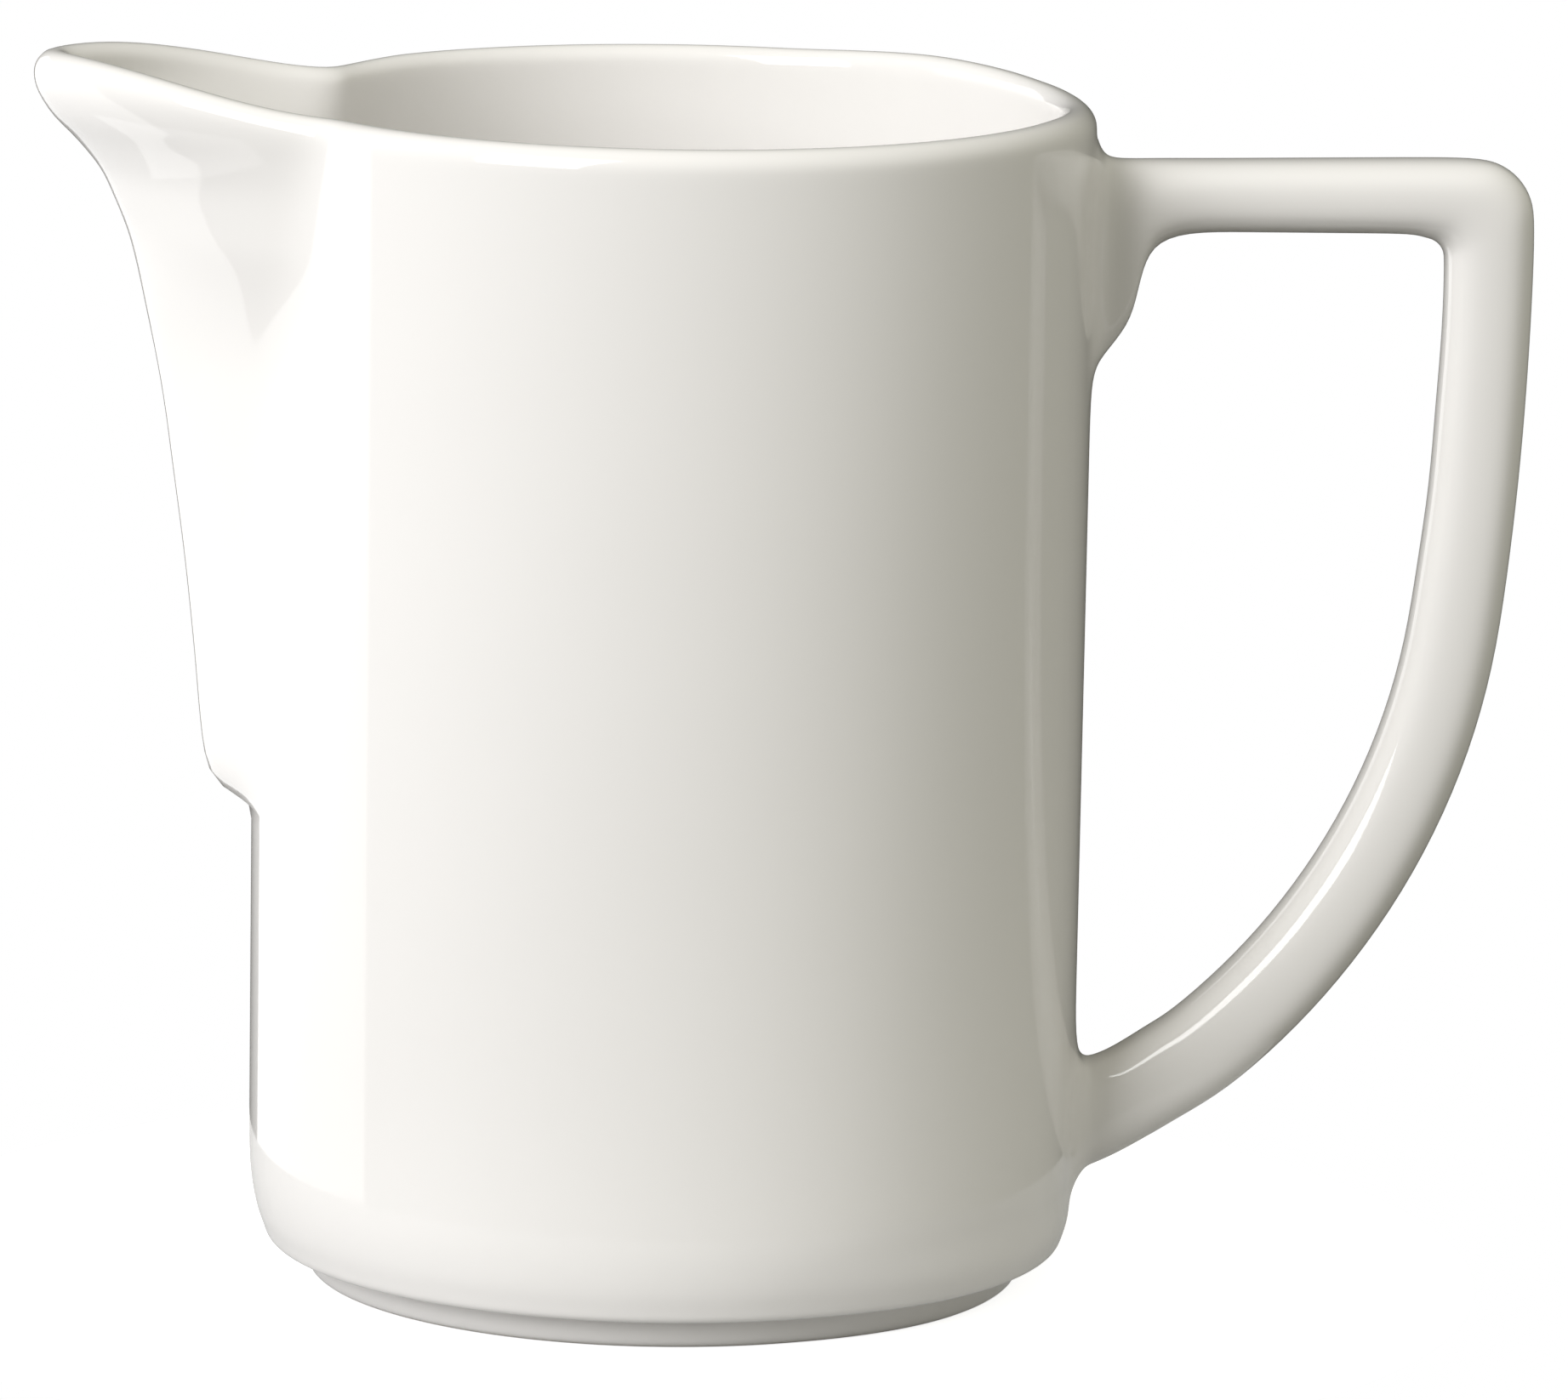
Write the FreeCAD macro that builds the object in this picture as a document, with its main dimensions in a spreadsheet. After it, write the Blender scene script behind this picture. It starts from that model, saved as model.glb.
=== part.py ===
# Porcelain creamer of about 0.3 litre, cast in one piece: a straight jug with a rounded heel and a
# foot ring, a long moulded beak that ends in the pouring lip, and a D-shaped handle with a level arm.
# Millimetres, +Z up. The axis of the round body is the Z axis, the foot stands on Z = 0, the beak
# points to -X and the handle to +X.
import FreeCAD
import Part
import math
import os
import Sketcher
from FreeCAD import Placement, Rotation, Vector

doc = FreeCAD.newDocument("creamer")

# ---------------------------------------------------------------- driving sizes
SIZES = {
    # round body
    "rim_radius": 35.6,
    "taper": 0.2,
    "rim_height": 101.5,
    "wall": 3.1,
    "floor_height": 5.6,
    "floor_round": 8.0,
    "heel_height": 11.0,
    "heel_round": 24.0,
    "heel_edge": 1.5,
    "foot_inset": 5.2,
    "foot_height": 2.9,
    "foot_land": 2.0,
    "foot_edge": 0.7,
    "recess": 1.6,
    "lip_share": 0.45,
    # beak: how far its cross sections lie below the rim and reach past the wall
    "drop_low": 61.2,
    "out_low": 4.3,
    "drop_mid": 23.5,
    "out_mid": 7.9,
    "drop_flare": 11.0,
    "out_flare": 11.2,
    "drop_turn": 3.4,
    "out_tip": 18.85,
    "turn_share": 0.84,
    "tip_rise": 3.4,
    "rise_start": 9.0,
    "rise_round": 50.6,
    "nose_low": 4.2,
    "nose_tip": 6.2,
    "flank_low": 70.0,
    "flank_tip": 35.0,
    "flank_angle": 36.4,
    "channel_wall": 3.3,
    "channel_angle": 33.5,
    "throat_round": 3.0,
    "shoulder_height": 5.5,
    "beak_blend": 3.0,
    # handle
    "handle_width": 8.2,
    "handle_round": 2.9,
    "arm_drop": 4.9,
    "arm_thick": 6.5,
    "leg_thick": 7.9,
    "leg_lean": 3.5,
    "handle_reach": 36.1,
    "bow_radius": 54.6,
    "root_height": 6.7,
    "corner_outer": 5.0,
    "corner_inner": 2.0,
    "lug_out": 3.6,
    "lug_drop": 4.6,
    "lug_round": 8.4,
    "lug_fillet": 3.2,
    "lug_blend": 1.2,
    "bow_blend": 1.8,
}

sheet = doc.addObject("Spreadsheet::Sheet", "Sizes")
for row, (name, number) in enumerate(SIZES.items(), start=1):
    sheet.set("A%d" % row, name)
    sheet.set("B%d" % row, str(number))
    sheet.setAlias("B%d" % row, name)
doc.recompute()
size = {name: float(sheet.get(name)) for name in SIZES}

ABOVE = 12.0    # how far blanks and cutters run past the rim
NEAR = 0.02     # how close an edge must lie to a wall to count as being on it
START, END, CENTRE = 1, 2, 3    # the points of a sketch edge
HEEL = "rim_radius - taper"     # radius where the wall turns into the rounded heel
FOOT = "rim_radius - foot_inset"    # outside radius of the foot ring


def amount(text):
    """The number that a sum of sizes comes to, such as 'rim_radius - 0.5 * wall'."""
    total = 0.0
    for term in text.replace("- ", "+ -1 * ").split("+ "):
        words = [word.strip() for word in term.split("*") if word.strip()]
        if words:
            total += math.prod(size[word] if word in size else float(word) for word in words)
    return total


def formula(text):
    """The same sum as an expression that follows the sheet."""
    return " ".join("Sizes." + word if word in size else word for word in text.split())


# ---------------------------------------------------------------- sketch helpers
def new_sketch(body, name, plane_role, height=None):
    """A sketch on an origin plane of its body, lifted to a height given as a sum of sizes."""
    sketch = body.newObject("Sketcher::SketchObject", name)
    for plane in body.Origin.OriginFeatures:
        if plane.Role == plane_role:
            sketch.AttachmentSupport = [(plane, "")]
    sketch.MapMode = "FlatFace"
    if height is not None:
        sketch.AttachmentOffset = Placement(Vector(0, 0, amount(height)), Rotation())
        sketch.setExpression("AttachmentOffset.Base.z", formula(height))
    return sketch


def bind(sketch, kind, places, text):
    """A dimension whose value follows the sheet; an angle is in degrees."""
    value = amount(text)
    expression = formula(text)
    if kind == "Angle":
        value = math.radians(value)
        expression = "(%s) * 1 deg" % expression
    number = sketch.addConstraint(Sketcher.Constraint(kind, *places, value))
    sketch.setExpression("Constraints[%d]" % number, expression)


def line(sketch, start, end):
    return sketch.addGeometry(Part.LineSegment(Vector(*start, 0), Vector(*end, 0)), False)


def arc(sketch, centre, radius, first, last):
    """An arc that runs counter-clockwise from the point first to the point last."""
    circle = Part.Circle(Vector(*centre, 0), Vector(0, 0, 1), radius)
    angles = [math.atan2(p[1] - centre[1], p[0] - centre[0]) for p in (first, last)]
    if angles[1] < angles[0]:
        angles[1] += 2 * math.pi
    return sketch.addGeometry(Part.ArcOfCircle(circle, *angles), False)


def meet(sketch, *joints):
    """Joints between edges; each is (kind, edge, point, edge, point)."""
    for joint in joints:
        sketch.addConstraint(Sketcher.Constraint(*joint))


def place(sketch, edge, point, across=None, up=None):
    """Ties a point of an edge to the sketch's origin by sums of sizes."""
    if across is not None:
        bind(sketch, "DistanceX", (-1, 1, edge, point), across)
    if up is not None:
        bind(sketch, "DistanceY", (-1, 1, edge, point), up)


def volume(body):
    doc.recompute()
    return body.Shape.Volume


# ---------------------------------------------------------------- round body
def turned_blank(body):
    """The jug's outside, solid within: foot ring, rounded heel and the slightly tapered wall."""
    sketch = new_sketch(body, "BodyOutline", "YZ_Plane")
    recess_edge = FOOT + " - foot_land - recess"
    top = amount("rim_height") + ABOVE
    edge = size["heel_edge"]
    heel_centre = (amount(HEEL + " - heel_round"), size["heel_height"])
    corner_z = size["foot_height"] + edge
    reach = size["heel_round"] - edge
    corner = (heel_centre[0] + math.sqrt(reach ** 2 - (corner_z - heel_centre[1]) ** 2), corner_z)
    grow = size["heel_round"] / reach
    touch = tuple(heel_centre[i] + (corner[i] - heel_centre[i]) * grow for i in (0, 1))
    points = [
        (0, size["recess"]),
        (amount(recess_edge), size["recess"]),
        (amount(FOOT + " - foot_land"), 0),
        (amount(FOOT + " - foot_edge"), 0),
        (amount(FOOT), size["foot_edge"]),
        (amount(FOOT), size["foot_height"]),
        (corner[0], size["foot_height"]),
        touch,
        (amount(HEEL), size["heel_height"]),
        (size["rim_radius"], top),
        (0, top),
    ]
    under = line(sketch, points[0], points[1])
    slope = line(sketch, points[1], points[2])
    land = line(sketch, points[2], points[3])
    foot_centre = (amount(FOOT + " - foot_edge"), size["foot_edge"])
    foot_turn = arc(sketch, foot_centre, size["foot_edge"], points[3], points[4])
    foot_side = line(sketch, points[4], points[5])
    step = line(sketch, points[5], points[6])
    heel_turn = arc(sketch, corner, edge, points[6], points[7])
    heel = arc(sketch, heel_centre, size["heel_round"], points[7], points[8])
    wall = line(sketch, points[8], points[9])
    lid = line(sketch, points[9], points[10])
    axis = line(sketch, points[10], points[0])
    meet(
        sketch,
        ("Coincident", under, END, slope, START),
        ("Coincident", slope, END, land, START),
        ("Tangent", land, END, foot_turn, START),
        ("Tangent", foot_turn, END, foot_side, START),
        ("Coincident", foot_side, END, step, START),
        ("Tangent", step, END, heel_turn, START),
        ("Tangent", heel_turn, END, heel, START),
        ("Coincident", heel, END, wall, START),
        ("Coincident", wall, END, lid, START),
        ("Coincident", lid, END, axis, START),
        ("Coincident", axis, END, under, START),
        ("Horizontal", under),
        ("Horizontal", land),
        ("Vertical", foot_side),
        ("Horizontal", step),
        ("Horizontal", lid),
        ("PointOnObject", under, START, -2),
        ("PointOnObject", lid, END, -2),
        ("PointOnObject", land, START, -1),
    )
    place(sketch, under, END, recess_edge, "recess")
    place(sketch, land, START, FOOT + " - foot_land")
    place(sketch, foot_side, START, FOOT)
    bind(sketch, "Radius", (foot_turn,), "foot_edge")
    place(sketch, foot_side, END, None, "foot_height")
    bind(sketch, "Radius", (heel_turn,), "heel_edge")
    bind(sketch, "Radius", (heel,), "heel_round")
    place(sketch, heel, END, HEEL, "heel_height")
    place(sketch, heel, CENTRE, None, "heel_height")
    place(sketch, wall, END, "rim_radius", "rim_height + %g" % ABOVE)
    blank = body.newObject("PartDesign::Revolution", "TurnedBlank")
    blank.Profile = sketch
    blank.ReferenceAxis = (sketch, ["V_Axis"])
    blank.Angle = 360.0
    return blank


def cavity(body):
    """Hollows the jug, with a rounded corner where the wall meets the floor."""
    sketch = new_sketch(body, "CavityOutline", "YZ_Plane")
    foot_of_wall = (amount(HEEL + " - wall"), amount("floor_height + floor_round"))
    centre = (amount(HEEL + " - wall - floor_round"), foot_of_wall[1])
    top = amount("rim_height") + 2 * ABOVE
    floor = line(sketch, (0, size["floor_height"]), (centre[0], size["floor_height"]))
    turn = arc(sketch, centre, size["floor_round"], (centre[0], size["floor_height"]), foot_of_wall)
    wall = line(sketch, foot_of_wall, (amount("rim_radius - wall"), top))
    lid = line(sketch, (amount("rim_radius - wall"), top), (0, top))
    axis = line(sketch, (0, top), (0, size["floor_height"]))
    meet(
        sketch,
        ("Tangent", floor, END, turn, START),
        ("Coincident", turn, END, wall, START),
        ("Coincident", wall, END, lid, START),
        ("Coincident", lid, END, axis, START),
        ("Coincident", axis, END, floor, START),
        ("Horizontal", floor),
        ("Horizontal", lid),
        ("PointOnObject", floor, START, -2),
        ("PointOnObject", lid, END, -2),
    )
    place(sketch, floor, START, None, "floor_height")
    bind(sketch, "Radius", (turn,), "floor_round")
    place(sketch, turn, END, HEEL + " - wall", "floor_height + floor_round")
    place(sketch, wall, END, "rim_radius - wall", "rim_height + %g" % (2 * ABOVE))
    cut = body.newObject("PartDesign::Groove", "Cavity")
    cut.Profile = sketch
    cut.ReferenceAxis = (sketch, ["V_Axis"])
    cut.Angle = 360.0
    return cut


# ---------------------------------------------------------------- beak
# Its cross sections from the keel up: name, height, how far the nose reaches past the wall, and
# whether the nose and flanks are those of the low end or of the tip. The shoulder swells out like a
# quarter of an ellipse, the nose then leans out evenly, flares, and stands upright at the tip.
KEEL = "rim_height - drop_low"
STATIONS = [
    ("Keel", KEEL, "- 0.6", "low"),
    ("Swell", KEEL + " + 0.2 * shoulder_height", "+ 0.6 * out_low", "low"),
    ("Shoulder", KEEL + " + 0.5 * shoulder_height", "+ 0.866 * out_low", "low"),
    ("Low", KEEL + " + shoulder_height", "+ out_low", "low"),
    ("Lean", "rim_height - 0.5 * drop_low + 0.5 * shoulder_height - 0.5 * drop_mid",
     "+ 0.5 * out_low + 0.5 * out_mid", "low"),
    ("Mid", "rim_height - drop_mid", "+ out_mid", "low"),
    ("Flare", "rim_height - drop_flare", "+ out_flare", "tip"),
    ("Turn", "rim_height - drop_turn", "+ turn_share * out_tip", "tip"),
    ("Tip", "rim_height + 0.3 * tip_rise", "+ out_tip", "tip"),
    ("Top", "rim_height + 1.6 * tip_rise", "+ out_tip", "tip"),
]


def beak_section(body, name, height, reach, nose, flank, root_radius, root_angle):
    """A rounded V across the beak: a nose arc and two bowed flanks that end inside the wall."""
    sketch = new_sketch(body, name, "XY_Plane", height)
    nose_radius = amount(nose)
    flank_radius = amount(flank)
    nose_centre = (-(amount(reach) - nose_radius), 0.0)
    angle = math.radians(size[root_angle])
    root = (-amount(root_radius) * math.cos(angle), amount(root_radius) * math.sin(angle))
    # the flank's centre lies flank - nose from the nose's centre and flank from the root
    gap = math.dist(nose_centre, root)
    inner = flank_radius - nose_radius
    along = (inner ** 2 - flank_radius ** 2 + gap ** 2) / (2 * gap)
    aside = math.sqrt(inner ** 2 - along ** 2)
    way = ((root[0] - nose_centre[0]) / gap, (root[1] - nose_centre[1]) / gap)
    centre = (nose_centre[0] + way[0] * along + way[1] * aside, way[1] * along - way[0] * aside)
    grow = -nose_radius / inner
    touch = tuple(nose_centre[i] + (centre[i] - nose_centre[i]) * grow for i in (0, 1))
    far_root, far_touch, far_centre = root, touch, centre
    near_root, near_touch, near_centre = [(p[0], -p[1]) for p in (root, touch, centre)]
    tip = arc(sketch, nose_centre, nose_radius, far_touch, near_touch)
    near = arc(sketch, near_centre, flank_radius, near_touch, near_root)
    back = line(sketch, near_root, far_root)
    far = arc(sketch, far_centre, flank_radius, far_root, far_touch)
    meet(
        sketch,
        ("Tangent", tip, END, near, START),
        ("Coincident", near, END, back, START),
        ("Coincident", back, END, far, START),
        ("Tangent", far, END, tip, START),
        ("PointOnObject", tip, CENTRE, -1),
        ("Vertical", back),
        ("Equal", near, far),
    )
    bind(sketch, "Radius", (tip,), nose)
    bind(sketch, "Radius", (near,), flank)
    bind(sketch, "DistanceX", (tip, CENTRE, -1, 1), reach + " - " + nose.replace(" - ", " + "))
    for kind, function in (("DistanceX", "cos"), ("DistanceY", "sin")):
        places = (far, START, -1, 1) if kind == "DistanceX" else (-1, 1, far, START)
        value = abs(root[0]) if kind == "DistanceX" else root[1]
        number = sketch.addConstraint(Sketcher.Constraint(kind, *places, value))
        sketch.setExpression(
            "Constraints[%d]" % number,
            "(%s) * %s(Sizes.%s * 1 deg)" % (formula(root_radius), function, root_angle),
        )
    return sketch


def loft_through(body, kind, name, sketches):
    """A smooth loft, added or cut away, through sketches listed from the lowest up."""
    feature = body.newObject("PartDesign::" + kind, name)
    feature.Profile = sketches[0]
    feature.Sections = [(sketch, [""]) for sketch in sketches[1:]]
    feature.Ruled = False
    return feature


def beak(body):
    """The outside of the beak, which widens and flares from a rounded shoulder up to the lip."""
    sections = []
    for name, height, out, end in STATIONS:
        sections.append(
            beak_section(
                body,
                "Beak" + name,
                height,
                "rim_radius " + out,
                "nose_" + end,
                "flank_" + end,
                "rim_radius - wall",
                "flank_angle",
            )
        )
    return loft_through(body, "AdditiveLoft", "Beak", sections)


def channel(body):
    """The pouring channel inside the beak, a wall's thickness from its outside."""
    sections = []
    for name, height, out, end in STATIONS:
        lift = " + channel_wall" if height.startswith(KEEL) else ""
        sections.append(
            beak_section(
                body,
                "Channel" + name,
                height + lift,
                "rim_radius " + out + " - channel_wall",
                "nose_" + end + " - channel_wall",
                "flank_" + end + " - channel_wall",
                "rim_radius - wall - wall",
                "channel_angle",
            )
        )
    return loft_through(body, "SubtractiveLoft", "Channel", sections)


def rim_cut(body):
    """Trims the rim: level round the jug, and rising in an easy S to the tip of the beak."""
    sketch = new_sketch(body, "RimLine", "XZ_Plane")
    rim, rise, turn = size["rim_height"], size["tip_rise"], size["rise_round"]
    far = amount("rim_radius + rim_radius + rim_radius")
    top = rim + 2 * ABOVE
    start = -amount("rim_radius - rise_start")
    run = math.sqrt(4 * rise * turn - rise ** 2)
    points = [
        (-far, top),
        (-far, rim + rise),
        (start - run, rim + rise),
        (start - run / 2, rim + rise / 2),
        (start, rim),
        (far, rim),
        (far, top),
    ]
    left = line(sketch, points[0], points[1])
    crest = line(sketch, points[1], points[2])
    upper = arc(sketch, (points[2][0], rim + rise - turn), turn, points[3], points[2])
    lower = arc(sketch, (start, rim + turn), turn, points[3], points[4])
    level = line(sketch, points[4], points[5])
    right = line(sketch, points[5], points[6])
    lid = line(sketch, points[6], points[0])
    meet(
        sketch,
        ("Coincident", left, END, crest, START),
        ("Tangent", crest, END, upper, END),
        ("Tangent", upper, START, lower, START),
        ("Tangent", lower, END, level, START),
        ("Coincident", level, END, right, START),
        ("Coincident", right, END, lid, START),
        ("Coincident", lid, END, left, START),
        ("Vertical", left),
        ("Horizontal", crest),
        ("Horizontal", level),
        ("Vertical", right),
        ("Horizontal", lid),
        ("Equal", upper, lower),
    )
    bind(sketch, "Radius", (upper,), "rise_round")
    bind(sketch, "DistanceX", (level, START, -1, 1), "rim_radius - rise_start")
    place(sketch, level, START, None, "rim_height")
    place(sketch, crest, START, None, "rim_height + tip_rise")
    place(sketch, right, END, "rim_radius + rim_radius + rim_radius", "rim_height + %g" % (2 * ABOVE))
    bind(sketch, "DistanceX", (left, START, -1, 1), "rim_radius + rim_radius + rim_radius")
    cut = body.newObject("PartDesign::Pocket", "RimCut")
    cut.Profile = sketch
    cut.Type = "ThroughAll"
    cut.SideType = "Symmetric"
    return cut


# ---------------------------------------------------------------- handle
def handle(body):
    """The D-shaped handle from its side: level arm, square-shouldered corner, leaning leg, bow."""
    sketch = new_sketch(body, "HandleOutline", "XZ_Plane")
    arm_top = amount("rim_height - arm_drop")
    arm_under = amount("rim_height - arm_drop - arm_thick")
    root_text = "rim_radius + lug_out - lug_round"
    root_x = amount(root_text)
    outer = amount("bow_radius + leg_thick")
    inner = size["bow_radius"]
    bow_x = amount("rim_radius + handle_reach - bow_radius - leg_thick")
    bow_z = size["root_height"] + math.sqrt(outer ** 2 - (root_x - bow_x) ** 2)
    lean = math.radians(size["leg_lean"])
    away = (math.cos(lean), -math.sin(lean))
    down = (-math.sin(lean), -math.cos(lean))

    def on_bow(radius):
        return (bow_x + away[0] * radius, bow_z + away[1] * radius)

    def corner_turn(radius, level, leg_point, side):
        """Centre and touching points of the arc between the level line and the leg's line."""
        centre_z = level - side * radius
        along = (leg_point[1] + side * (-away[1]) * radius - centre_z) / -down[1]
        centre_x = leg_point[0] - side * away[0] * radius - down[0] * along
        centre = (centre_x, centre_z)
        top = (centre_x, level)
        leg = (centre_x + side * away[0] * radius, centre_z + side * away[1] * radius)
        return centre, top, leg

    outer_leg = on_bow(outer)
    inner_leg = on_bow(inner)
    outer_centre, outer_top, outer_side = corner_turn(size["corner_outer"], arm_top, outer_leg, 1)
    inner_centre, inner_top, inner_side = corner_turn(size["corner_inner"], arm_under, inner_leg, 1)
    root_low = (root_x, size["root_height"])
    root_high = (root_x, bow_z - math.sqrt(inner ** 2 - (root_x - bow_x) ** 2))
    lug_x = amount("rim_radius + lug_out")
    fillet = size["lug_fillet"]
    lug_top = (lug_x, arm_under - fillet)
    lug_under = (lug_x + fillet, arm_under)
    lug_low = (lug_x, arm_under - size["lug_drop"])
    lug_end = (root_x, lug_low[1] - size["lug_round"])

    arm = line(sketch, (root_x, arm_top), outer_top)
    shoulder = arc(sketch, outer_centre, size["corner_outer"], outer_side, outer_top)
    back = line(sketch, outer_side, outer_leg)
    bow = arc(sketch, (bow_x, bow_z), outer, root_low, outer_leg)
    foot = line(sketch, root_low, root_high)
    inner_bow = arc(sketch, (bow_x, bow_z), inner, root_high, inner_leg)
    front = line(sketch, inner_leg, inner_side)
    nook = arc(sketch, inner_centre, size["corner_inner"], inner_side, inner_top)
    under = line(sketch, inner_top, lug_under)
    armpit = arc(sketch, (lug_under[0], lug_top[1]), fillet, lug_under, lug_top)
    lug = line(sketch, lug_top, lug_low)
    lug_turn = arc(sketch, (root_x, lug_low[1]), size["lug_round"], lug_end, lug_low)
    root = line(sketch, lug_end, (root_x, arm_top))
    meet(
        sketch,
        ("Tangent", arm, END, shoulder, END),
        ("Tangent", shoulder, START, back, START),
        ("Tangent", back, END, bow, END),
        ("Coincident", bow, START, foot, START),
        ("Coincident", foot, END, inner_bow, START),
        ("Tangent", inner_bow, END, front, START),
        ("Tangent", front, END, nook, START),
        ("Tangent", nook, END, under, START),
        ("Tangent", under, END, armpit, START),
        ("Tangent", armpit, END, lug, START),
        ("Tangent", lug, END, lug_turn, END),
        ("Coincident", lug_turn, START, root, START),
        ("Coincident", root, END, arm, START),
        ("Horizontal", arm),
        ("Horizontal", under),
        ("Vertical", foot),
        ("Vertical", lug),
        ("Vertical", root),
        ("Coincident", bow, CENTRE, inner_bow, CENTRE),
        ("Parallel", back, front),
    )
    bind(sketch, "Radius", (shoulder,), "corner_outer")
    bind(sketch, "Radius", (nook,), "corner_inner")
    bind(sketch, "Radius", (armpit,), "lug_fillet")
    bind(sketch, "Radius", (lug_turn,), "lug_round")
    bind(sketch, "Radius", (bow,), "bow_radius + leg_thick")
    bind(sketch, "Radius", (inner_bow,), "bow_radius")
    place(sketch, arm, START, root_text, "rim_height - arm_drop")
    place(sketch, under, START, None, "rim_height - arm_drop - arm_thick")
    place(sketch, lug, END, "rim_radius + lug_out", "rim_height - arm_drop - arm_thick - lug_drop")
    place(sketch, bow, START, root_text, "root_height")
    place(sketch, bow, CENTRE, "rim_radius + handle_reach - bow_radius - leg_thick")
    bind(sketch, "Angle", (front,), "90 - leg_lean")
    pad = body.newObject("PartDesign::Pad", "Handle")
    pad.Profile = sketch
    pad.SideType = "Symmetric"
    pad.Length = size["handle_width"]
    pad.setExpression("Length", "Sizes.handle_width")
    return pad


# ---------------------------------------------------------------- rounding
def middle(edge):
    return edge.valueAt((edge.FirstParameter + edge.LastParameter) / 2)


def off_wall(edge, low, low_radius, high, high_radius):
    """How far an edge's middle lies from a wall that tapers evenly between two heights."""
    point = middle(edge)
    share = (point.z - low) / (high - low)
    radius = low_radius + (high_radius - low_radius) * share
    return abs(math.hypot(point.x, point.y) - radius)


def round_edges(body, name, radius, wanted):
    """Fillets, by a radius given as a sum of sizes, the edges for which wanted(edge) is true."""
    doc.recompute()
    base = body.Tip
    names = ["Edge%d" % i for i, edge in enumerate(base.Shape.Edges, start=1) if wanted(edge)]
    feature = body.newObject("PartDesign::Fillet", name)
    feature.Base = (base, names)
    feature.Radius = amount(radius)
    feature.setExpression("Radius", formula(radius))
    return feature


TOP = size["rim_height"] + ABOVE
KEEL_HEIGHT = amount(KEEL)
ARM_DEPTH = size["rim_height"] / 2


def outside(edge, reach=NEAR):
    """True for an edge that lies on the outside of the wall."""
    return off_wall(edge, size["heel_height"], amount(HEEL), TOP, size["rim_radius"]) < reach


def inside(edge):
    """True for an edge that lies on the inside of the wall."""
    low = amount("floor_height + floor_round")
    radii = amount(HEEL + " - wall"), amount("rim_radius - wall")
    return off_wall(edge, low, radii[0], TOP, radii[1]) < NEAR


def beak_foot(edge):
    """True where the beak's outside grows out of the wall."""
    point = middle(edge)
    return point.x < 0 and outside(edge) and KEEL_HEIGHT - 1 < point.z < TOP - 6


def handle_corner(edge):
    """True along the handle's four long edges, outside the wall it is rooted in."""
    point = middle(edge)
    beside = abs(abs(point.y) - size["handle_width"] / 2) < NEAR
    return beside and point.x > amount("rim_radius + lug_out - lug_round") + NEAR


def handle_root(edge):
    """True where the handle meets the wall."""
    point = middle(edge)
    low = amount("foot_height + heel_edge")
    small = abs(point.y) < size["handle_width"] / 2 + NEAR and edge.Length < size["rim_height"] / 3
    return point.x > 0 and small and point.z > low and outside(edge, 15 * NEAR)


def lug_root(edge):
    return handle_root(edge) and middle(edge).z > ARM_DEPTH


def bow_root(edge):
    return handle_root(edge) and middle(edge).z < ARM_DEPTH


def throat(edge):
    """True where the pouring channel opens into the jug."""
    point = middle(edge)
    return point.x < 0 and inside(edge) and KEEL_HEIGHT < point.z < size["rim_height"] - NEAR


def lip(edge):
    """True along both borders of the trimmed rim."""
    lowest = min(vertex.Z for vertex in edge.Vertexes)
    return lowest > size["rim_height"] - NEAR and not isinstance(edge.Curve, Part.Line)


# ---------------------------------------------------------------- the creamer
creamer = doc.addObject("PartDesign::Body", "Creamer")
creamer.Label = "creamer"
turned_blank(creamer)
beak(creamer)
round_edges(creamer, "BeakBlend", "beak_blend", beak_foot)

handle_form = doc.addObject("PartDesign::Body", "HandleForm")
handle(handle_form)
round_edges(handle_form, "HandleRounding", "handle_round", handle_corner)
join = creamer.newObject("PartDesign::Boolean", "HandleJoin")
join.Type = "Fuse"
join.setObjects([handle_form])
round_edges(creamer, "LugBlend", "lug_blend", lug_root)
round_edges(creamer, "BowBlend", "bow_blend", bow_root)

full = volume(creamer)
cavity(creamer)
hollowed = volume(creamer)
channel(creamer)
poured = volume(creamer)
rim_cut(creamer)
trimmed = volume(creamer)
round_edges(creamer, "Throat", "throat_round", throat)
round_edges(creamer, "Lip", "lip_share * wall", lip)
finished = volume(creamer)

# ---------------------------------------------------------------- checks and the STEP file
steps = (full, hollowed, poured, trimmed, finished)
print("volumes in cubic millimetres:", [round(step, 1) for step in steps])
for before, after in zip(steps, steps[1:]):
    if after > before - 10:
        raise RuntimeError("a cut of the creamer took nothing away")
for item in doc.Objects:
    if {"Invalid", "Error"} & set(item.State):
        raise RuntimeError("%s: %s" % (item.Name, item.State))
shape = creamer.Shape
if shape.isNull() or not shape.isValid() or len(shape.Solids) != 1:
    raise RuntimeError("the creamer is not one sound solid")

os.makedirs("parts", exist_ok=True)
shape.exportStep("parts/" + creamer.Label + ".step")
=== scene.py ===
"""Porcelain creamer: one glazed jug with a moulded beak, a foot ring and a D-shaped handle.

The jug is modelled in millimetres on its own axis (+Z up, beak to -X, handle to +X) and brought
to metres at the end. A coarse net is turned, the handle is drawn out of two openings in its wall,
the net is subdivided, and the beak is then pulled out of the smooth wall.
"""

import bmesh
import bpy
import math
from mathutils import Matrix, Vector


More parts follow.
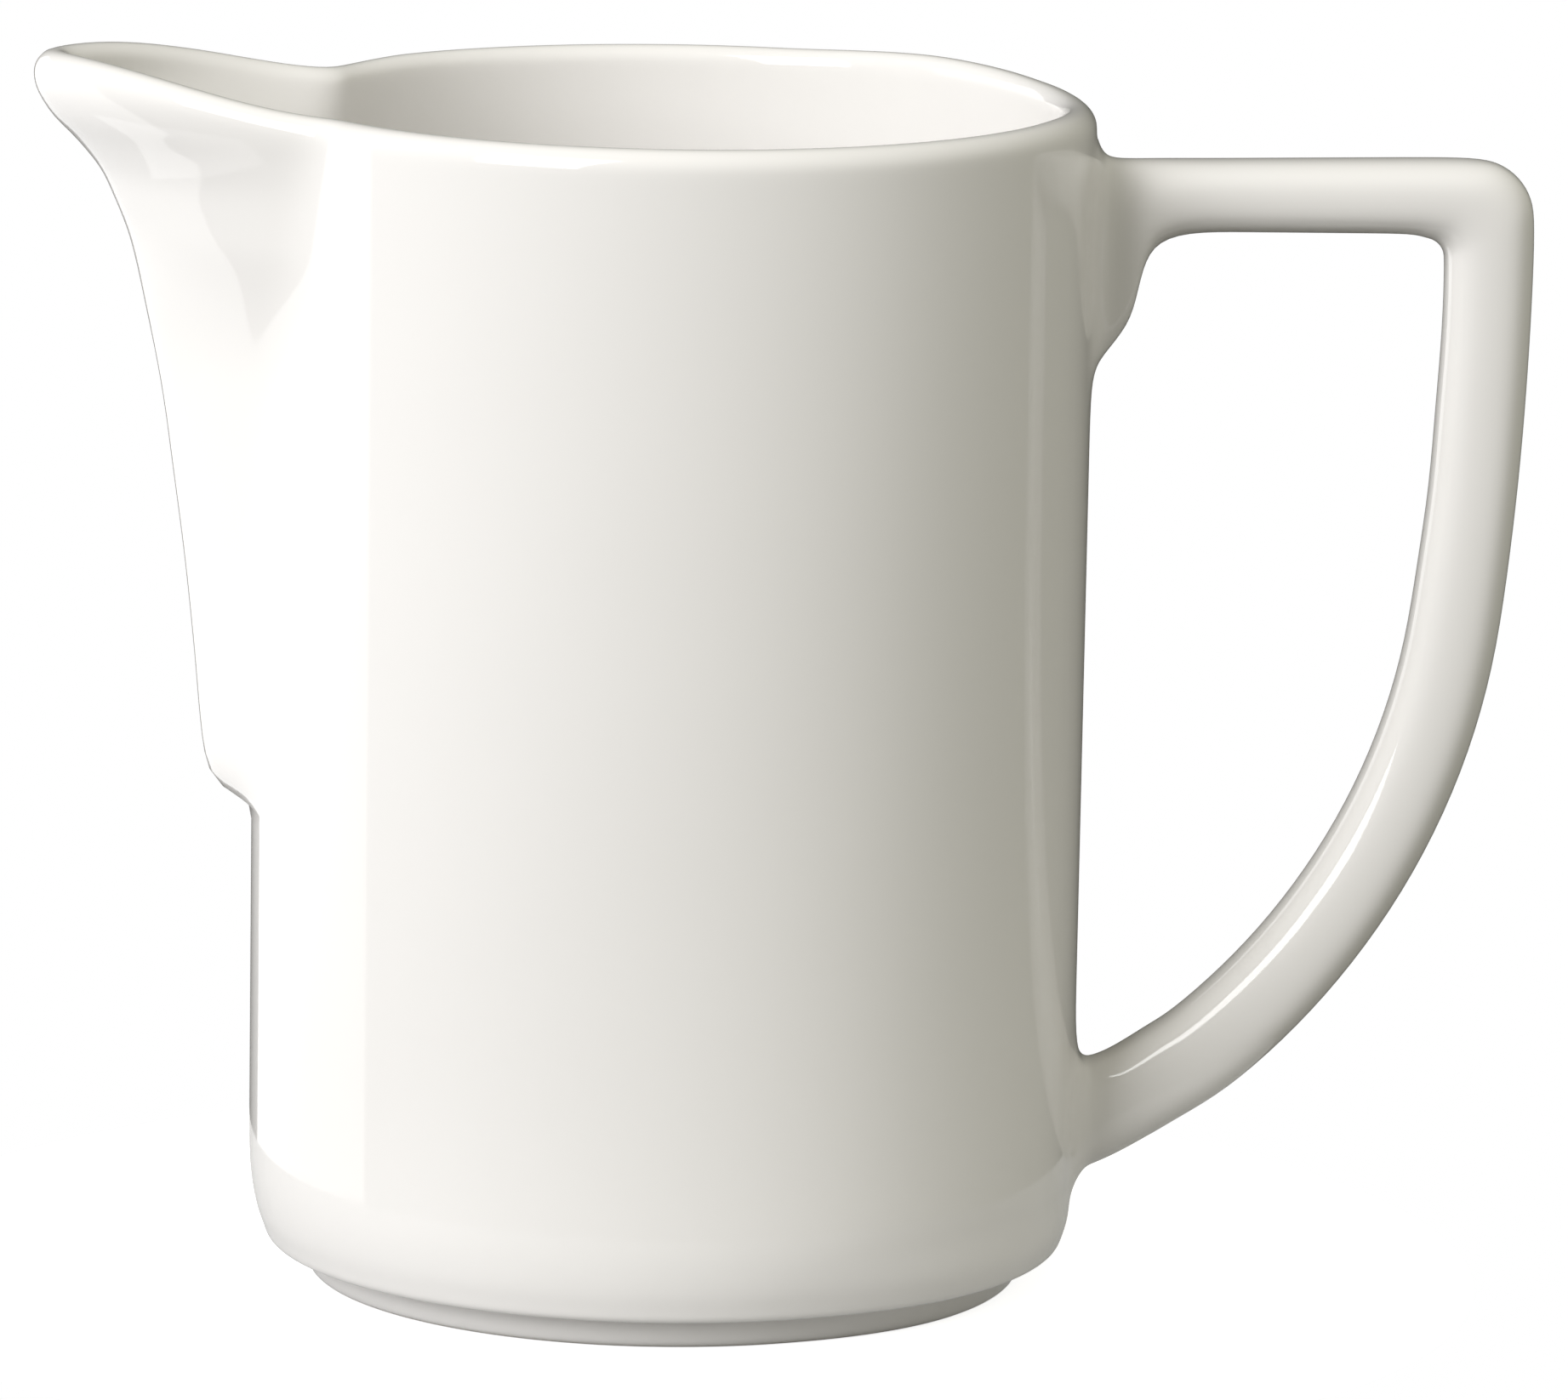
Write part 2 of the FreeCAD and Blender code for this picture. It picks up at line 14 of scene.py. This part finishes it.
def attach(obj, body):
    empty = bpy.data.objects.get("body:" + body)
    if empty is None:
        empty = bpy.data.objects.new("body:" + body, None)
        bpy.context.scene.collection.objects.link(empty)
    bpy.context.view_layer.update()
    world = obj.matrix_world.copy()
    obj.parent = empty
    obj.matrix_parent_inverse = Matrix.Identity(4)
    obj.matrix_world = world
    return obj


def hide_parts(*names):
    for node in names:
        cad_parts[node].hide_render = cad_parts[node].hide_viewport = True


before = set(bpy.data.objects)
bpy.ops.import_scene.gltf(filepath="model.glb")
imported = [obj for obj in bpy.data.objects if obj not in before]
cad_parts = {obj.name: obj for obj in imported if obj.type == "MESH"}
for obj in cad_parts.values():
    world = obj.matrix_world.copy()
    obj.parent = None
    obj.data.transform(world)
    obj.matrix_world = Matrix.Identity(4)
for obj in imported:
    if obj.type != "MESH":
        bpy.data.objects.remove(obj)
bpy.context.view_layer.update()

MM = 0.001

# ---------------------------------------------------------------- sizes, in millimetres
RIM = 101.5             # height of the level rim
RIM_RADIUS = 35.58
HEEL_RADIUS = 35.4
HEEL_HEIGHT = 11.0
HEEL_ROUND = 24.0       # radius of the rounded heel
WALL = 3.1
FLOOR = 5.6
FLOOR_ROUND = 8.0
FOOT_RADIUS = 30.4
FOOT_HEIGHT = 2.9
RECESS = 1.6

COLUMNS = 72            # net columns round the jug
HOLE_COLUMNS = 2        # net columns on each side of the handle's openings
LOW_ROWS = [7.4 + 1.65 * i for i in range(9)]
MID_ROWS = [20.6 + 5.68 * i for i in range(1, 10)]
HIGH_ROWS = [77.8 + 2.6 * i for i in range(9)]

# beak: height against how far the nose lies from the jug's axis
NOSE = [
    (37.8, 30.0), (39.6, 33.4), (40.6, 35.3), (41.25, 36.8), (41.9, 38.0), (42.65, 38.75),
    (44.0, 39.35), (46.8, 39.8), (54.2, 40.5), (61.5, 41.3), (68.9, 42.3), (76.2, 43.35),
    (83.4, 44.8), (88.9, 46.1), (92.5, 47.5), (95.0, 48.75), (97.4, 50.7), (99.5, 52.75),
    (101.4, 53.95), (103.0, 54.3), (107.0, 54.3),
]
NOSE_LOW, NOSE_TIP = 4.2, 6.2
FLANK_LOW, FLANK_TIP = 70.0, 35.0
NOSE_CHANGE = (78.0, 90.5)     # heights between which the nose and flanks take the tip's form
OUTER_ROOT = (RIM_RADIUS - WALL, 36.4)      # radius and angle where the flanks enter the wall
CHANNEL_WALL = 3.3
CHANNEL_FLOOR = (44.0, 60.0)    # heights over which the channel comes up to the nose's own height
INNER_ROOT = (RIM_RADIUS - 2 * WALL, 33.5)
BEAK_HALF_ANGLE = math.radians(44)          # nothing beyond this angle is moved
BLEND_OUTSIDE, BLEND_INSIDE = 1.9, 2.0
TIP_RISE = 3.35
RISE_FROM, RISE_TO = 28.0, 52.0             # distances from the axis over which the rim rises
LIFT_FROM, LIFT_TO = 62.0, RIM - 4          # heights over which the wall takes up the rise

# small unevenness of cast and fired ware
RIM_WAVES = [(47, 26, 0.42), (3, 30, -0.32), (146, 16, -0.26)]     # middle and reach in degrees, rise
WAVES_FROM = 95.0
HEEL_SWELL = 0.55
SWELL_HEIGHTS = (4.0, 9.0)      # the swell fades out between these
SWELL_INSIDE = (26.0, 29.0)
SWELL_OUTSIDE = (HEEL_RADIUS, HEEL_RADIUS + 2.5)
SWELL_TURN = (0.3, 0.8)         # cosine of the angle to the handle's plane

# handle, seen from its side
ARM_TOP, ARM_UNDER = 96.55, 90.4
ARM_SLOPE = 0.015
HANDLE_HALF = 4.1
LEAN = math.radians(3.5)
BOW_OUTER = ((9.0, 64.6), 62.7)
BOW_INNER = ((9.2, 65.05), 54.78)
CORNER_OUTER = ((68.1, 91.85), 5.0)
CORNER_INNER = ((63.5, 88.1), 2.0)
RING = 24               # points round the handle
SQUARENESS = 2.6        # 2 is an ellipse, more is squarer

# ---------------------------------------------------------------- glaze
GLAZE_DARKER, GLAZE_LIGHTER = (0.83, 0.812, 0.795, 1), (0.86, 0.842, 0.825, 1)
BISCUIT = (0.74, 0.71, 0.66, 1)
BARE_TO, GLAZED_FROM = 0.15, 0.45       # heights, in millimetres
GLAZED_ROUGHNESS, BARE_ROUGHNESS = 0.06, 0.75

# ---------------------------------------------------------------- studio, in metres and degrees
CAMERA_AZIMUTH, CAMERA_ELEVATION, CAMERA_ROLL = -3.0, 10.57, 0.99
CAMERA_TARGET = (0.0099, -0.00052, 0.0497)
CAMERA_DISTANCE = 0.969
SENSOR_MM, LENS_MM = 36.0, 260.77
TABLE_RADIUS = 0.07
TABLE_LIT = (0.42, 0.42, 0.42, 1)       # the table's colour for the light it sends to the jug
TABLE_SEEN = (0.8, 0.8, 0.8, 1)         # and for the camera
TABLE_GLOW, TABLE_GLINT = 0.82, 0.25    # its glow for the camera, and as the glaze mirrors it
TENT_SIDE = (76.0, 34.0)        # azimuth and elevation of the studio's bright side
TENT_FADE = (-0.1, 1.0, 0.06, 0.62)     # facing it from and to, strength from and to
TENT_COLOUR = (1.0, 0.99, 0.86, 1)
WHITE = (1, 1, 1, 1)
LAMPS = [       # name, azimuth, elevation, distance, width, height, watts
    ("key box", -43, 31, 1.2, 0.65, 1.0, 16.6),
    ("strip box", -121, -4, 0.35, 0.42, 0.52, 0.92),
    ("low box", -85, -60, 0.5, 0.5, 0.5, 0.7),
]


def ease(value, low, high):
    """0 below low, 1 above high, and an even S between."""
    share = min(max((value - low) / (high - low), 0.0), 1.0)
    return share * share * (3 - 2 * share)


def wall_radius(height):
    """Outside radius of the straight, slightly tapered wall."""
    share = (height - HEEL_HEIGHT) / (RIM - HEEL_HEIGHT)
    return HEEL_RADIUS + (RIM_RADIUS - HEEL_RADIUS) * share


# ---------------------------------------------------------------- turned body
def heel(height):
    """A point of the rounded heel or of the wall above it."""
    if height >= HEEL_HEIGHT:
        return (wall_radius(height), height)
    drop = HEEL_HEIGHT - height
    centre = HEEL_RADIUS - HEEL_ROUND
    return (centre + math.sqrt(HEEL_ROUND ** 2 - drop ** 2), height)


def body_profile():
    """Half of the jug's section: underside, foot ring, heel, wall, lip, inner wall and floor."""
    inner = RIM_RADIUS - WALL
    low_inner = HEEL_RADIUS - WALL
    foot = FOOT_RADIUS
    points = [(0, RECESS), (9, RECESS), (18, RECESS), (25.7, RECESS), (27.4, RECESS), (28.1, 1.0)]
    points += [(foot - 2.05, 0.05), (foot - 1.7, 0), (foot - 1.0, 0), (foot - 0.45, 0.1)]
    points += [(foot - 0.05, 0.55), (foot, 1.6), (foot, 2.65), (foot + 0.35, FOOT_HEIGHT)]
    points += [(31.9, FOOT_HEIGHT), (33.2, 2.9), (33.95, 3.15), (34.2, 4.1), heel(5.4)]
    points += [heel(height) for height in LOW_ROWS + MID_ROWS + HIGH_ROWS]
    points += [(RIM_RADIUS, 99.6), (RIM_RADIUS - 0.1, 100.5), (RIM_RADIUS - 0.8, RIM - 0.12)]
    points += [(RIM_RADIUS - WALL / 2 - 0.1, RIM + 0.05)]
    points += [(inner + 0.75, RIM), (inner, 100.75), (inner, 99.6)]
    for height in (96.6, 92.5, 88, 83, 78, 72.5, 67, 61, 55, 49, 43, 33, 23):
        points.append((wall_radius(height) - WALL, height))
    points += [(low_inner, FLOOR + FLOOR_ROUND), (low_inner, FLOOR + 4.5)]
    points += [(low_inner - 1.5, FLOOR + 1.5), (low_inner - 4.5, FLOOR), (low_inner - 8.5, FLOOR)]
    points += [(15, FLOOR), (7, FLOOR), (0, FLOOR)]
    return points


def turn_body(bm):
    """Spins the profile into the closed net of the jug without its handle."""
    row = [bm.verts.new((radius, 0, height)) for radius, height in body_profile()]
    edges = [bm.edges.new(pair) for pair in zip(row, row[1:])]
    bmesh.ops.spin(
        bm, geom=row + edges, axis=(0, 0, 1), cent=(0, 0, 0), angle=2 * math.pi,
        steps=COLUMNS, use_merge=True,
    )
    bmesh.ops.remove_doubles(bm, verts=bm.verts, dist=0.001)
    bmesh.ops.recalc_face_normals(bm, faces=bm.faces)


# ---------------------------------------------------------------- handle
def on_circle(centre, radius, angle):
    """A point of a circle in the handle's plane, at an angle from straight up."""
    return (centre[0] + radius * math.sin(angle), centre[1] + radius * math.cos(angle))


def handle_stations():
    """Cuts across the handle from lug to root, each an outer point, an inner point and a half width."""
    cuts = [
        ((36.15, 97.1), (36.0, 78.95), 4.9),
        ((37.0, 96.6), (37.15, 80.4), 4.35),
        ((38.4, ARM_TOP), (38.9, 82.75), HANDLE_HALF),
        ((40.0, ARM_TOP), (39.35, 86.0), HANDLE_HALF),
        ((42.0, ARM_TOP), (40.2, 89.2), HANDLE_HALF),
        ((45.2, ARM_TOP), (43.2, ARM_UNDER), HANDLE_HALF),
    ]
    arm_start = cuts[-1][0][0]
    for along in (49.0, 54.0, 59.0, 63.0):
        top = ARM_TOP + ARM_SLOPE * (along - arm_start)
        cuts.append(((along, top), (along - 0.4, ARM_UNDER), HANDLE_HALF))
    for step in range(5):
        angle = (math.pi / 2 + LEAN) * step / 4
        outer = on_circle(*CORNER_OUTER, angle)
        inner = on_circle(*CORNER_INNER, angle)
        cuts.append((outer, inner, HANDLE_HALF))
    cuts += [
        ((73.05, 85.0), (65.5, 81.9), HANDLE_HALF),
        ((72.8, 77.2), (65.05, 75.2), HANDLE_HALF),
        ((72.35, 69.2), (64.75, 68.5), HANDLE_HALF),
    ]
    for degrees in (3.5, 10.5, 17.5, 24.5, 31.5, 38.5, 45.0, 51.0):
        angle = math.pi / 2 + math.radians(degrees)
        outer = on_circle(*BOW_OUTER, angle)
        inner = on_circle(*BOW_INNER, angle)
        cuts.append((outer, inner, HANDLE_HALF))
    cuts += [
        ((44.72, 13.62), (42.05, 21.5), HANDLE_HALF),
        ((41.55, 11.65), (40.25, 20.3), HANDLE_HALF),
        ((38.9, 10.15), (38.5, 19.2), HANDLE_HALF),
        ((37.2, 9.4), (37.0, 18.55), 4.35),
        ((36.2, 9.1), (36.0, 18.45), 4.85),
    ]
    return cuts


def station_frame(cut):
    """The matrix that lays a unit ring across the handle at a cut."""
    outer, inner, half_width = cut
    middle = Vector(((outer[0] + inner[0]) / 2, 0, (outer[1] + inner[1]) / 2))
    across = Vector((outer[0] - inner[0], 0, outer[1] - inner[1])) / 2
    sideways = Vector((0, half_width, 0))
    onward = across.cross(sideways).normalized()
    matrix = Matrix((across, sideways, onward)).transposed().to_4x4()
    matrix.translation = middle
    return matrix


def square_up(value):
    """A circle's coordinate turned into that of a rounded square."""
    return math.copysign(abs(value) ** (2 / SQUARENESS), value)


def opening_edges(bm, low, high):
    """Opens the wall under the handle between two net rows and returns the opening's rim."""
    half_angle = HOLE_COLUMNS * 2 * math.pi / COLUMNS
    inside = []
    for face in bm.faces:
        centre = face.calc_center_median()
        turned = abs(math.atan2(centre.y, centre.x)) < half_angle
        outer = math.hypot(centre.x, centre.y) > HEEL_RADIUS - WALL / 2
        if turned and outer and low < centre.z < high:
            inside.append(face)
    bmesh.ops.delete(bm, geom=inside, context="FACES")
    rims = [edge for edge in bm.edges if edge.is_boundary]
    return [edge for edge in rims if low - 1 < edge.verts[0].co.z < high + 1]


def draw_handle(bm):
    """Runs a ring of points along the handle and joins its ends to the openings in the wall."""
    high = opening_edges(bm, HIGH_ROWS[0], HIGH_ROWS[-1])
    low = opening_edges(bm, LOW_ROWS[0], LOW_ROWS[-1])
    ring = bmesh.ops.create_circle(bm, cap_ends=False, radius=1.0, segments=RING)["verts"]
    for vert in ring:
        vert.co = Vector((square_up(vert.co.y), square_up(vert.co.x), 0))
    cuts = handle_stations()
    here = station_frame(cuts[0])
    bmesh.ops.transform(bm, matrix=here, verts=ring)
    edges = list({edge for vert in ring for edge in vert.link_edges})
    first = edges
    for cut in cuts[1:]:
        made = bmesh.ops.extrude_edge_only(bm, edges=edges)["geom"]
        ring = [item for item in made if isinstance(item, bmesh.types.BMVert)]
        edges = [item for item in made if isinstance(item, bmesh.types.BMEdge)]
        edges = [edge for edge in edges if edge.verts[0] in ring and edge.verts[1] in ring]
        there = station_frame(cut)
        bmesh.ops.transform(bm, matrix=there @ here.inverted(), verts=ring)
        here = there
    bmesh.ops.bridge_loops(bm, edges=high + first)
    bmesh.ops.bridge_loops(bm, edges=low + edges)
    bmesh.ops.recalc_face_normals(bm, faces=bm.faces)


# ---------------------------------------------------------------- beak
def nose_reach(height):
    """How far the nose lies from the axis at a height: an even curve through the NOSE points."""
    for index in range(1, len(NOSE) - 2):
        if height <= NOSE[index + 1][0]:
            break
    before, start, end, after = NOSE[index - 1:index + 3]
    gap = end[0] - start[0]
    share = min(max((height - start[0]) / gap, 0.0), 1.0)
    leave = (end[1] - before[1]) / (end[0] - before[0]) * gap
    arrive = (after[1] - start[1]) / (after[0] - start[0]) * gap
    square, cube = share ** 2, share ** 3
    return (
        (2 * cube - 3 * square + 1) * start[1] + (cube - 2 * square + share) * leave
        + (3 * square - 2 * cube) * end[1] + (cube - square) * arrive
    )


def beak_radius(angle, reach, nose, flank, root):
    """Distance from the axis to the beak's rounded V, at an angle from the beak's middle plane."""
    tip = Vector((reach - nose, 0.0))
    root_angle = math.radians(root[1])
    foot = Vector((math.cos(root_angle), math.sin(root_angle))) * root[0]
    gap = (foot - tip).length
    way = (foot - tip) / gap
    inner = flank - nose
    along = (inner ** 2 - flank ** 2 + gap ** 2) / (2 * gap)
    aside = math.sqrt(inner ** 2 - along ** 2)
    centre = tip + way * along + Vector((-way.y, way.x)) * aside
    touch = tip - (centre - tip) * nose / inner
    ray = Vector((math.cos(angle), math.sin(angle)))
    if angle < math.atan2(touch.y, touch.x):
        centre, radius = tip, nose
    else:
        radius = flank
    depth = ray.dot(centre)
    square = depth ** 2 - centre.length_squared + radius ** 2
    return depth + math.sqrt(square) if square > 0 else 0.0


def blended(first, second, width):
    """The larger of two radii, with a soft fillet where they cross."""
    near = max(width - abs(first - second), 0.0) / width
    return max(first, second) + near * near * width / 4


def beak_walls(angle, height):
    """Outer and inner radius of the jug with its beak."""
    share = ease(height, *NOSE_CHANGE)
    nose = NOSE_LOW + (NOSE_TIP - NOSE_LOW) * share
    flank = FLANK_LOW + (FLANK_TIP - FLANK_LOW) * share
    outer = beak_radius(angle, nose_reach(height), nose, flank, OUTER_ROOT)
    below = CHANNEL_WALL * (1 - ease(height, *CHANNEL_FLOOR))
    reach = nose_reach(height - below) - CHANNEL_WALL
    inner = beak_radius(angle, reach, nose - CHANNEL_WALL, flank - CHANNEL_WALL, INNER_ROOT)
    wall = wall_radius(height)
    return blended(outer, wall, BLEND_OUTSIDE), blended(inner, wall - WALL, BLEND_INSIDE)


def pull_beak(bm):
    """Moves the smooth wall's points out to the beak and lifts the rim towards its tip."""
    lowest = NOSE[0][0]
    for vert in bm.verts:
        x, y, z = vert.co
        angle = abs(math.atan2(y, -x))
        radius = math.hypot(x, y)
        if z < lowest or angle > BEAK_HALF_ANGLE or radius < HEEL_RADIUS - 2 * WALL:
            continue
        wall = wall_radius(z)
        depth = (radius - (wall - WALL)) / WALL
        lift = ease(z, LIFT_FROM, LIFT_TO)
        height = z
        for _ in range(3):      # the rise and the reach depend on each other
            outer, inner = beak_walls(angle, height)
            moved = inner + (outer - inner) * depth
            height = z + TIP_RISE * lift * ease(moved * math.cos(angle), RISE_FROM, RISE_TO)
        vert.co = Vector((x * moved / radius, y * moved / radius, height))


def fire_uneven(bm):
    """Takes the rim a little out of level and makes the heel and foot fuller by the handle."""
    for vert in bm.verts:
        x, y, z = vert.co
        radius = math.hypot(x, y)
        if z > WAVES_FROM and radius < RIM_RADIUS + 0.1:
            turned = math.degrees(math.atan2(y, x))
            for middle, width, rise in RIM_WAVES:
                near = 1 - ease(abs(turned - middle), 0, width)
                vert.co.z += rise * near * ease(z, WAVES_FROM, RIM)
        elif z < HEEL_HEIGHT and x > 0 and radius > SWELL_INSIDE[0]:
            fuller = HEEL_SWELL * ease(x / radius, *SWELL_TURN) * (1 - ease(z, *SWELL_HEIGHTS))
            fuller *= ease(radius, *SWELL_INSIDE) * (1 - ease(radius, *SWELL_OUTSIDE))
            vert.co.x += fuller * x / radius
            vert.co.y += fuller * y / radius


# ---------------------------------------------------------------- glaze
def glaze():
    """Clear gloss glaze on white porcelain, bare and matt under the foot ring."""
    made = bpy.data.materials.new("white glaze")
    made.use_nodes = True
    nodes, links = made.node_tree.nodes, made.node_tree.links
    shader = nodes["Principled BSDF"]
    shader.inputs["IOR"].default_value = 1.5
    place = nodes.new("ShaderNodeTexCoord")

    # the glaze pools and thins a little, which shades its colour and ripples its gloss
    drift = nodes.new("ShaderNodeTexNoise")
    drift.inputs["Scale"].default_value = 28.0
    drift.inputs["Detail"].default_value = 3.0
    links.new(place.outputs["Object"], drift.inputs["Vector"])
    tone = nodes.new("ShaderNodeValToRGB")
    tone.color_ramp.elements[0].color = GLAZE_DARKER
    tone.color_ramp.elements[1].color = GLAZE_LIGHTER
    links.new(drift.outputs["Fac"], tone.inputs["Fac"])

    # bare biscuit where the foot ring was wiped clean
    split = nodes.new("ShaderNodeSeparateXYZ")
    links.new(place.outputs["Object"], split.inputs["Vector"])
    bare = nodes.new("ShaderNodeMapRange")
    bare.inputs["From Min"].default_value = BARE_TO * MM
    bare.inputs["From Max"].default_value = GLAZED_FROM * MM
    bare.inputs["To Min"].default_value = 1.0
    bare.inputs["To Max"].default_value = 0.0
    links.new(split.outputs["Z"], bare.inputs["Value"])
    colour = nodes.new("ShaderNodeMix")
    colour.data_type = "RGBA"
    colour.inputs["B"].default_value = BISCUIT
    links.new(bare.outputs["Result"], colour.inputs["Factor"])
    links.new(tone.outputs["Color"], colour.inputs["A"])
    links.new(colour.outputs["Result"], shader.inputs["Base Color"])
    rough = nodes.new("ShaderNodeMapRange")
    rough.inputs["To Min"].default_value = GLAZED_ROUGHNESS
    rough.inputs["To Max"].default_value = BARE_ROUGHNESS
    links.new(bare.outputs["Result"], rough.inputs["Value"])
    links.new(rough.outputs["Result"], shader.inputs["Roughness"])

    ripple = nodes.new("ShaderNodeTexNoise")
    ripple.inputs["Scale"].default_value = 60.0
    ripple.inputs["Detail"].default_value = 1.0
    links.new(place.outputs["Object"], ripple.inputs["Vector"])
    bump = nodes.new("ShaderNodeBump")
    bump.inputs["Strength"].default_value = 0.05
    bump.inputs["Distance"].default_value = 0.4 * MM
    links.new(ripple.outputs["Fac"], bump.inputs["Height"])
    links.new(bump.outputs["Normal"], shader.inputs["Normal"])
    return made


# ---------------------------------------------------------------- the jug
def smooth_copy(bm, name, levels):
    """The net subdivided into a smooth surface, as a new bmesh."""
    mesh = bpy.data.meshes.new(name)
    bm.to_mesh(mesh)
    net = bpy.data.objects.new(name, mesh)
    bpy.context.scene.collection.objects.link(net)
    surface = net.modifiers.new("smooth", "SUBSURF")
    surface.levels = levels
    surface.render_levels = levels
    bpy.context.view_layer.update()
    result = bmesh.new()
    result.from_object(net, bpy.context.evaluated_depsgraph_get())
    bpy.data.objects.remove(net)
    return result


def make_jug():
    net = bmesh.new()
    turn_body(net)
    draw_handle(net)
    bm = smooth_copy(net, "jug net", 2)
    net.free()
    fire_uneven(bm)
    pull_beak(bm)
    bmesh.ops.scale(bm, vec=(MM, MM, MM), verts=bm.verts)
    for face in bm.faces:
        face.smooth = True
    mesh = bpy.data.meshes.new("jug")
    bm.to_mesh(mesh)
    bm.free()
    jug = bpy.data.objects.new("jug", mesh)
    bpy.context.scene.collection.objects.link(jug)
    jug.data.materials.append(glaze())
    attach(jug, "root")
    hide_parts("creamer")


# ---------------------------------------------------------------- floor, lamps and camera
def pale_floor():
    """A matt white that stays white to the camera and still takes the jug's shadow."""
    made = bpy.data.materials.new("white floor")
    made.use_nodes = True
    nodes, links = made.node_tree.nodes, made.node_tree.links
    nodes.remove(nodes["Principled BSDF"])
    path = nodes.new("ShaderNodeLightPath")
    shade = nodes.new("ShaderNodeMix")
    shade.data_type = "RGBA"
    shade.inputs["A"].default_value = TABLE_LIT
    shade.inputs["B"].default_value = TABLE_SEEN
    links.new(path.outputs["Is Camera Ray"], shade.inputs["Factor"])
    diffuse = nodes.new("ShaderNodeBsdfDiffuse")
    links.new(shade.outputs["Result"], diffuse.inputs["Color"])
    glow = nodes.new("ShaderNodeEmission")
    gloss = nodes.new("ShaderNodeMath")
    gloss.operation = "MULTIPLY"
    gloss.inputs[1].default_value = TABLE_GLINT
    links.new(path.outputs["Is Glossy Ray"], gloss.inputs[0])
    strength = nodes.new("ShaderNodeMix")
    strength.inputs["B"].default_value = TABLE_GLOW
    links.new(path.outputs["Is Camera Ray"], strength.inputs["Factor"])
    links.new(gloss.outputs["Value"], strength.inputs["A"])
    links.new(strength.outputs["Result"], glow.inputs["Strength"])
    both = nodes.new("ShaderNodeAddShader")
    links.new(diffuse.outputs["BSDF"], both.inputs[0])
    links.new(glow.outputs["Emission"], both.inputs[1])
    links.new(both.outputs["Shader"], nodes["Material Output"].inputs["Surface"])
    return made


def make_floor():
    """A small round table under the jug."""
    bm = bmesh.new()
    bmesh.ops.create_circle(bm, cap_ends=True, radius=TABLE_RADIUS, segments=96)
    mesh = bpy.data.meshes.new("floor")
    bm.to_mesh(mesh)
    bm.free()
    floor = bpy.data.objects.new("floor", mesh)
    bpy.context.scene.collection.objects.link(floor)
    mesh.materials.append(pale_floor())


def towards(azimuth, elevation):
    """The direction from the jug to a lamp; azimuth 0 is the camera's side, 90 is +X."""
    turn, rise = math.radians(azimuth), math.radians(elevation)
    return Vector((
        math.sin(turn) * math.cos(rise), -math.cos(turn) * math.cos(rise), math.sin(rise),
    ))


def make_world():
    """White to the camera; otherwise a studio that is bright on one side and fades to the other."""
    world = bpy.data.worlds.new("studio")
    bpy.context.scene.world = world
    world.use_nodes = True
    nodes, links = world.node_tree.nodes, world.node_tree.links
    back = nodes["Background"]
    place = nodes.new("ShaderNodeTexCoord")
    facing = nodes.new("ShaderNodeVectorMath")
    facing.operation = "DOT_PRODUCT"
    facing.inputs[1].default_value = towards(*TENT_SIDE)
    links.new(place.outputs["Generated"], facing.inputs[0])
    fade = nodes.new("ShaderNodeMapRange")
    fade.interpolation_type = "SMOOTHSTEP"
    for name, value in zip(("From Min", "From Max", "To Min", "To Max"), TENT_FADE):
        fade.inputs[name].default_value = value
    links.new(facing.outputs["Value"], fade.inputs["Value"])
    path = nodes.new("ShaderNodeLightPath")
    strength = nodes.new("ShaderNodeMix")
    strength.inputs["B"].default_value = 1.0
    links.new(path.outputs["Is Camera Ray"], strength.inputs["Factor"])
    links.new(fade.outputs["Result"], strength.inputs["A"])
    links.new(strength.outputs["Result"], back.inputs["Strength"])
    tint = nodes.new("ShaderNodeMix")
    tint.data_type = "RGBA"
    tint.inputs["A"].default_value = TENT_COLOUR
    tint.inputs["B"].default_value = WHITE
    links.new(path.outputs["Is Camera Ray"], tint.inputs["Factor"])
    links.new(tint.outputs["Result"], back.inputs["Color"])


def soft_lamp(name, azimuth, elevation, distance, wide, tall, power):
    """A soft box that faces the middle of the jug."""
    aim = Vector((0, 0, 0.05))
    back = towards(azimuth, elevation)
    data = bpy.data.lights.new(name, "AREA")
    data.shape = "RECTANGLE"
    data.size, data.size_y = wide, tall
    data.energy = power
    lamp = bpy.data.objects.new(name, data)
    bpy.context.scene.collection.objects.link(lamp)
    lamp.location = aim + back * distance
    lamp.rotation_mode = "QUATERNION"
    lamp.rotation_quaternion = back.to_track_quat("Z", "Y")
    lamp.visible_camera = False


def make_camera():
    """A long lens a little above the rim, turned three degrees towards the beak."""
    back = towards(CAMERA_AZIMUTH, CAMERA_ELEVATION)
    data = bpy.data.cameras.new("camera")
    data.sensor_width = SENSOR_MM
    data.lens = LENS_MM
    data.clip_start, data.clip_end = 0.05, 20.0
    camera = bpy.data.objects.new("camera", data)
    bpy.context.scene.collection.objects.link(camera)
    camera.location = Vector(CAMERA_TARGET) + back * CAMERA_DISTANCE
    camera.rotation_mode = "QUATERNION"
    roll = Matrix.Rotation(math.radians(CAMERA_ROLL), 3, "Z").to_quaternion()
    camera.rotation_quaternion = back.to_track_quat("Z", "Y") @ roll
    bpy.context.scene.camera = camera


make_jug()
make_floor()
make_world()
for lamp in LAMPS:
    soft_lamp(*lamp)
make_camera()
bpy.context.scene.view_settings.view_transform = "Standard"
